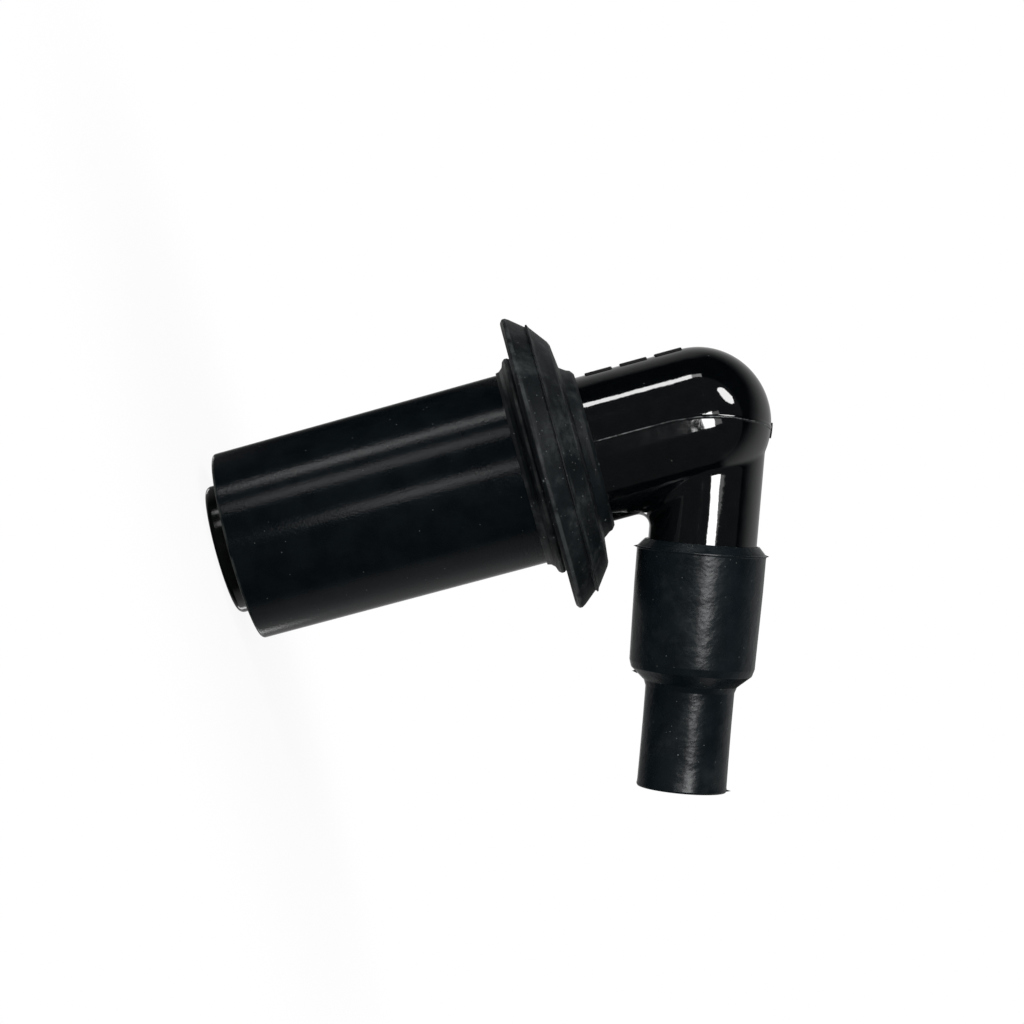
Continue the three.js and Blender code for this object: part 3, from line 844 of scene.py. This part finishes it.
# The well seal is one matt rubber moulding: a cuff with a round bead on the sleeve, a thin lip
# over the well, two cones with the mould's ridge between them, and a neck snapped on the rib.
SEAL_WANDER = 0.07  # how far the soft lip strays from true
seal_rubber, place, shader = new_material("matt_seal_rubber", Specular_IOR_Level=0.19)
radius, height = across_axis(place)
mottle = grain(place, 300, 5, 0.65)
fine = grain(place, 5200, 3, 0.6)
dust = specks(place, 1500, 0.13, 0.6)
crumbs = specks(place, 620, 0.09, 0.45)
# Paler lines round the lip's rim, the ridge, the top edge of the upper cone and the cuff's bead:
# partly edge wear, partly a painted highlight on those edges.
wear_and_painted_highlight = line_near(radius, height, 16.62, 37.0, 0.30)
wear_and_painted_highlight = wear_and_painted_highlight.maths("MAXIMUM", line_near(radius, height, 15.0, 39.4, 0.35) * 0.6)
wear_and_painted_highlight = wear_and_painted_highlight.maths("MAXIMUM", line_near(radius, height, 12.75, 41.0, 0.30) * 0.5)
wear_and_painted_highlight = wear_and_painted_highlight.maths("MAXIMUM", line_near(radius, height, 12.27, 35.95, 0.22) * 0.7)
wear_and_painted_highlight = wear_and_painted_highlight * grain(place, 420, 3).rise(0.35, 0.6)
bloom = grain(place, 150, 5, 0.7).rise(0.48, 0.75)
pale = (dust * 0.55 + crumbs + wear_and_painted_highlight * 0.22 + bloom * 0.26).maths("MINIMUM", 1.0)
coat_with(
    seal_rubber,
    shader,
    Base_Color=pale.blend(
        mottle.rise(0.3, 0.7).blend((0.0022, 0.0038, 0.0048), (0.0052, 0.0074, 0.0088)),
        (0.11, 0.12, 0.12),
    ),
    Roughness=0.42 + 0.16 * mottle + 0.2 * pale - 0.08 * wear_and_painted_highlight,
    Normal=bumped(mottle * 0.7 + fine * 0.3, 0.00008, 0.8),
)
seal_mesh = turned(
    rounded(
        [
            (10.88, 34.5, 0),
            (11.0, 34.5, 0.03),
            (11.1, 34.9, 0.3),
            (11.45, 35.3, 0.4),
            (12.05, 35.5, 0.3),
            (12.3, 35.8, 0.2),
            (12.3, 36.12, 0.15),
            (12.1, 36.4, 0.08),
            (16.2, 36.4, 0.4),
            (16.6, 36.7, 0.25),
            (16.6, 37.05, 0.15),
            (16.35, 37.45, 0.3),
            (15.12, 38.95, 0.05),
            (15.34, 39.05, 0.05),
            (15.34, 39.2, 0.06),
            (14.98, 39.35, 0.08),
            (12.9, 40.9, 0.3),
            (12.45, 41.1, 0.5),
            (9.8, 41.4, 0.25),
            (9.3, 42.1, 0.5),
            (9.15, 42.5, 0.3),
            (8.7, 42.85, 0.12),
            (8.35, 42.85, 0.05),
            (8.35, 38.3, 0.1),
            (9.7, 38.3, 0.1),
            (9.7, 36.6, 0.05),
            (10.88, 36.6, 0.05),
        ],
    ),
    240,
)


def strayed(mesh, amount, waves, keep=0.0):
    """Moves a soft piece's points in or out by a slow, fixed noise, but not inside keep."""
    for vertex in mesh.vertices:
        reach = math.hypot(vertex.co.x, vertex.co.y)
        if reach > keep:
            push = amount * noise.noise(vertex.co * waves) * min((reach - keep) / 2, 1.0)
            vertex.co.x += vertex.co.x / reach * push
            vertex.co.y += vertex.co.y / reach * push
            vertex.co.z += push * 0.4
    return mesh


seal_mesh = strayed(seal_mesh, SEAL_WANDER, waves=0.2, keep=10.9)
seal = finished("well_seal_rubber", seal_mesh, seal_rubber)
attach(seal, "root")
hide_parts("well_seal")


# The boot is moulded in the same matt rubber and pushed over the lead arm. Its mouth slopes down
# to the arm, it steps in to the size of the lead, and the mould left a nib of flash at each edge.
BOOT_WANDER = 0.06
# Each nib's angle round the boot, reach and height of its root, length and half width
NIBS = (
    (0, 7.0, 14.97, 0.62, 0.2),
    (180, 7.0, 14.97, 0.55, 0.2),
    (0, 6.0, 28.9, 0.6, 0.22),
    (180, 4.85, 41.4, 0.7, 0.15),
)
boot_rubber, place, shader = new_material("matt_boot_rubber", Specular_IOR_Level=0.24)
mottle = grain(place, 260, 5, 0.65)
ripple = grain(place, 420, 3, 0.6, (1, 1, 0.7))
fine = grain(place, 5200, 3, 0.6)
dust = specks(place, 1300, 0.10, 0.40)
crumbs = specks(place, 600, 0.07, 0.25)
bloom = grain(place, 170, 5, 0.7).rise(0.5, 0.78)
pale = (dust * 0.5 + crumbs * 0.8 + bloom * 0.08).maths("MINIMUM", 1.0)
coat_with(
    boot_rubber,
    shader,
    Base_Color=pale.blend(
        mottle.rise(0.3, 0.7).blend((0.0026, 0.0046, 0.0062), (0.0046, 0.0076, 0.0096)),
        (0.11, 0.12, 0.115),
    ),
    Roughness=0.20 + 0.14 * mottle + 0.2 * pale,
    Normal=bumped(ripple * 0.95 + fine * 0.05, 0.00014, 0.9),
)
boot_mesh = turned(
    rounded(
        [
            (6.2, 14.0, 0),
            (6.38, 14.0, 0.05),
            (7.15, 14.85, 0.1),
            (7.28, 14.9, 0.04),
            (7.28, 15.05, 0.04),
            (7.2, 15.15, 0.1),
            (7.18, 19.0, 0),
            (7.1, 23.0, 0),
            (7.0, 27.6, 0.5),
            (6.75, 28.4, 0.4),
            (5.2, 29.75, 0.35),
            (4.97, 30.4, 0.5),
            (4.95, 34.0, 0),
            (4.97, 38.0, 0),
            (5.0, 41.0, 0),
            (5.06, 41.35, 0.1),
            (4.95, 41.55, 0.06),
            (3.6, 41.55, 0.15),
            (3.4, 41.2, 0.1),
            (3.4, 27.3, 0.1),
            (6.2, 27.3, 0.2),
        ],
    ),
    200,
)
boot_mesh = strayed(boot_mesh, BOOT_WANDER, waves=0.25, keep=6.25)


def nib(angle, reach, height, length, width):
    """A wedge of flash that stands out of an edge at this angle round the boot."""
    turn = Matrix.Rotation(math.radians(angle), 4, "Z")
    mesh = bpy.data.meshes.new("nib")
    corners = ((-1, -1), (1, -1), (1, 1), (-1, 1))
    spots = [(reach, s * width, height + t * width) for s, t in corners]
    spots.append((reach + length, 0.0, height))
    mesh.from_pydata(spots, [], [(0, 1, 2, 3), (0, 1, 4), (1, 2, 4), (2, 3, 4), (3, 0, 4)])
    mesh.transform(turn)
    return tidied(mesh)


boot_mesh = joined(boot_mesh, *[nib(*sizes) for sizes in NIBS])
boot_mesh.transform(LEAD_FRAME)
boot = finished("boot", boot_mesh, boot_rubber)
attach(boot, "root")
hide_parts("lead_boot")


# The socket terminal is turned from brass bar and screwed up the bore. It has a flange with a
# driver slot at its mouth, a rolled thread outside, and a nose that touches the resistor.
TOOL_MARKS = 60000  # radians of the lathe tool's marks to the metre
FLANGE_FACE, BLADE_SPAN = 22.7, 24
SLOT_WIDTH, SLOT_DEPTH = 1.2, 0.8
THREAD_START, THREAD_WIRE = 24.5, 0.45


def coil(radius, turns, rise, start, steps=40):
    """The points of a helix about +Z from height 0."""
    count = round(turns * steps)
    angles = [math.radians(start) + turns * 2 * math.pi * i / count for i in range(count + 1)]
    return [
        (radius * math.cos(a), radius * math.sin(a), rise * i / count)
        for i, a in enumerate(angles)
    ]


turned_brass, place, shader = new_material("turned_brass", Metallic=1.0)
radius, height = across_axis(place)
rings = ((radius + height) * TOOL_MARKS).maths("SINE")
tarnish = grain(place, 500, 5, 0.65)
coat_with(
    turned_brass,
    shader,
    Base_Color=tarnish.rise(0.4, 0.75).blend((0.72, 0.55, 0.27), (0.42, 0.30, 0.14)),
    Roughness=0.22 + 0.25 * tarnish,
    Normal=bumped(rings, 0.000004, 0.4),
)
socket_mesh = turned(
    rounded(
        [
            (0, 31.3, 0),
            (3.35, 31.3, 0.2),
            (3.35, 28.1, 0.05),
            (3.95, 28.1, 0.1),
            (3.95, 27.1, 0.1),
            (3.35, 27.1, 0.05),
            (3.35, FLANGE_FACE, 0.35),
            (5.6, FLANGE_FACE, 0.2),
            (5.6, 23.9, 0.15),
            (4.45, 23.9, 0),
            (4.45, 32.9, 0.3),
            (2.4, 32.9, 0.1),
            (2.4, 33.9, 0.3),
            (0, 33.9, 0),
        ],
        steps=4,
    ),
    128,
)
blade = bpy.data.meshes.new("blade")
shape = bmesh.new()
blade_size = Matrix.Diagonal((BLADE_SPAN, SLOT_WIDTH, 2 * SLOT_DEPTH, 1))
bmesh.ops.create_cube(shape, matrix=Matrix.Translation((0, 0, FLANGE_FACE)) @ blade_size)
shape.to_mesh(blade)
shape.free()
thread_line = coil(radius=4.5, turns=8, rise=8.0, start=0)
thread = swept(thread_line, THREAD_WIRE, turned_brass, sides=8)
thread.transform(Matrix.Translation((0, 0, THREAD_START)))
socket_mesh = joined(carved(socket_mesh, ("DIFFERENCE", blade)), thread)
socket = finished("socket", socket_mesh, turned_brass)
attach(socket, "root")
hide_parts("socket_terminal")


# The clip is an open ring of spring wire in the socket's groove, and the contact spring is wound
# from a finer wire of the same steel. Both keep the bright skin of drawn wire.
CLIP_WIRE, CLIP_HEIGHT = 0.8, 27.6
SPRING_WIRE = 0.5
spring_wire, place, shader = new_material("drawn_spring_wire", Metallic=1.0)
streaks = grain(place, 3000, 3, 0.6, (1, 1, 0.3))
coat_with(
    spring_wire,
    shader,
    Base_Color=streaks.blend((0.50, 0.51, 0.52), (0.66, 0.67, 0.68)),
    Roughness=0.2 + 0.2 * streaks,
    Normal=bumped(streaks, 0.000004, 0.4),
)
clip_line = coil(radius=3.45, turns=300 / 360, rise=0.0, start=30, steps=72)
clip_mesh = swept(clip_line, CLIP_WIRE, spring_wire, sides=16)
clip_mesh.transform(Matrix.Translation((0, 0, CLIP_HEIGHT)))
clip = finished("clip_ring", clip_mesh, spring_wire)
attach(clip, "root")
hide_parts("socket_clip")

low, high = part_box("contact_spring")
spring_rise = (high.z - low.z) * 1000 - SPRING_WIRE
spring_line = coil(radius=2.05, turns=4.5, rise=spring_rise, start=0)
spring_mesh = swept(spring_line, SPRING_WIRE, spring_wire, sides=12)
spring_mesh.transform(Matrix.Translation((0, 0, low.z * 1000 + SPRING_WIRE / 2)))
spring = finished("pressure_spring", spring_mesh, spring_wire)
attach(spring, "root")
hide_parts("contact_spring")


# The resistor is a fired ceramic rod with a drawn brass cup pressed on each end. It stands loose
# in its bore between the socket's nose and the spring. The three solids keep their own shape.
ceramic, place, shader = new_material("fired_ceramic")
mottle = grain(place, 900, 4, 0.6)
pores = specks(place, 2500, 0.2, 0.3)
coat_with(
    ceramic,
    shader,
    Base_Color=(mottle * 0.5 + pores * 0.5).blend((0.80, 0.77, 0.70), (0.52, 0.48, 0.40)),
    Roughness=0.42 + 0.25 * mottle,
    Normal=bumped(mottle - pores, 0.00002, 0.5),
)
for node, finish in (
    ("resistor_rod", ceramic),
    ("resistor_cap_lower", turned_brass),
    ("resistor_cap_upper", turned_brass),
):
    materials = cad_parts[node].data.materials
    materials.clear()
    materials.append(finish)


# The lead screw is moulded into the elbow. Its coarse brass thread and point stand in the lead
# bore, where the core of the lead is screwed on.
SCREW_THREAD_START, SCREW_THREAD_WIRE = 9.2, 0.62
screw_brass, place, shader = new_material("cut_brass", Metallic=1.0)
tarnish = grain(place, 700, 5, 0.65)
coat_with(
    screw_brass,
    shader,
    Base_Color=tarnish.rise(0.35, 0.7).blend((0.70, 0.54, 0.28), (0.46, 0.33, 0.16)),
    Roughness=0.25 + 0.25 * tarnish,
    Normal=bumped(tarnish, 0.00001, 0.4),
)
screw_mesh = turned(
    rounded(
        [
            (0, -2.6, 0),
            (2.6, -2.6, 0.4),
            (2.6, 2.6, 0.4),
            (1.8, 2.6, 0),
            (1.8, 8.5, 0.1),
            (1.3, 8.9, 0),
            (1.3, 18.5, 0.3),
            (0, 22.0, 0),
        ],
        steps=4,
    ),
    64,
)
screw_line = coil(radius=1.25, turns=7, rise=9.4, start=0, steps=32)
screw_thread = swept(screw_line, SCREW_THREAD_WIRE, screw_brass, sides=8)
screw_thread.transform(Matrix.Translation((0, 0, SCREW_THREAD_START)))
screw_mesh = joined(screw_mesh, screw_thread)
screw_mesh.transform(LEAD_FRAME)
screw = finished("core_screw", screw_mesh, screw_brass)
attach(screw, "root")
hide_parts("lead_screw")
